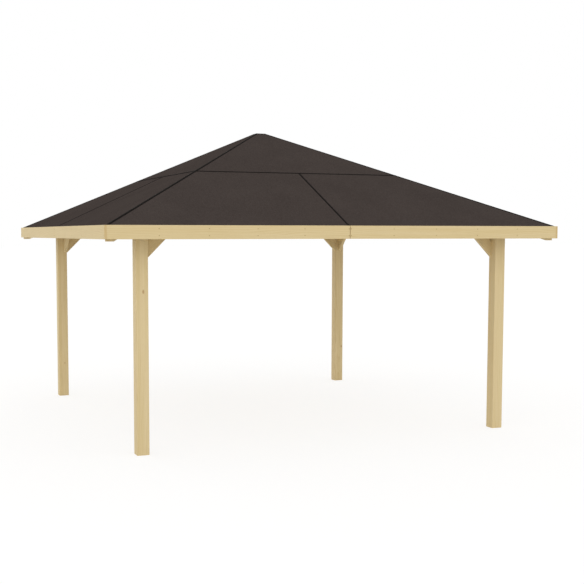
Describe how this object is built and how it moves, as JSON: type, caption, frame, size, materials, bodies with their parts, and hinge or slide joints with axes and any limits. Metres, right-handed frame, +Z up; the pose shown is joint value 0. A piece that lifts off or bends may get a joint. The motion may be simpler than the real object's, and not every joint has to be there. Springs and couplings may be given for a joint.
{
  "type": "garden gazebo",
  "caption": "Square open garden gazebo: posts with knee braces carry wall plates and a low hipped roof of boards under roofing felt.",
  "frame": {"origin": "on the ground under the middle of the roof", "axes": "+Z up, the front faces -Y, the right side faces +X"},
  "size_m": [4.85, 4.85, 3.276],
  "materials": {
    "post_timber": "planed glued spruce, untreated, satin",
    "sawn_timber": "planed spruce rafters, untreated",
    "roof_boards": "tongued and grooved spruce boards, untreated",
    "fascia_board": "planed spruce board, untreated",
    "roofing_felt": "bitumen roofing felt with fine mineral granules, matt dark brown"
  },
  "bodies": {
    "root": {"post_front_right": "post_timber", "post_back_right": "post_timber", "post_back_left": "post_timber", "post_front_left": "post_timber", "wall_plate_front": "post_timber", "wall_plate_right": "post_timber", "wall_plate_back": "post_timber", "wall_plate_left": "post_timber", "front_brace_right": "post_timber", "front_brace_left": "post_timber", "right_brace_back": "post_timber", "right_brace_front": "post_timber", "back_brace_left": "post_timber", "back_brace_right": "post_timber", "left_brace_front": "post_timber", "left_brace_back": "post_timber", "hip_rafter_front_right": "post_timber", "hip_rafter_back_right": "post_timber", "hip_rafter_back_left": "post_timber", "hip_rafter_front_left": "post_timber", "king_post": "post_timber", "rafters_front": "sawn_timber", "rafters_right": "sawn_timber", "rafters_back": "sawn_timber", "rafters_left": "sawn_timber", "noggings_front": "sawn_timber", "noggings_right": "sawn_timber", "noggings_back": "sawn_timber", "noggings_left": "sawn_timber", "roof_boards_front": "roof_boards", "roof_boards_right": "roof_boards", "roof_boards_back": "roof_boards", "roof_boards_left": "roof_boards", "roof_felt_front": "roofing_felt", "roof_felt_right": "roofing_felt", "roof_felt_back": "roofing_felt", "roof_felt_left": "roofing_felt", "apex_cap": "roofing_felt", "fascia_front": "fascia_board", "fascia_right": "fascia_board", "fascia_back": "fascia_board", "fascia_left": "fascia_board"}
  },
  "joints": []
}
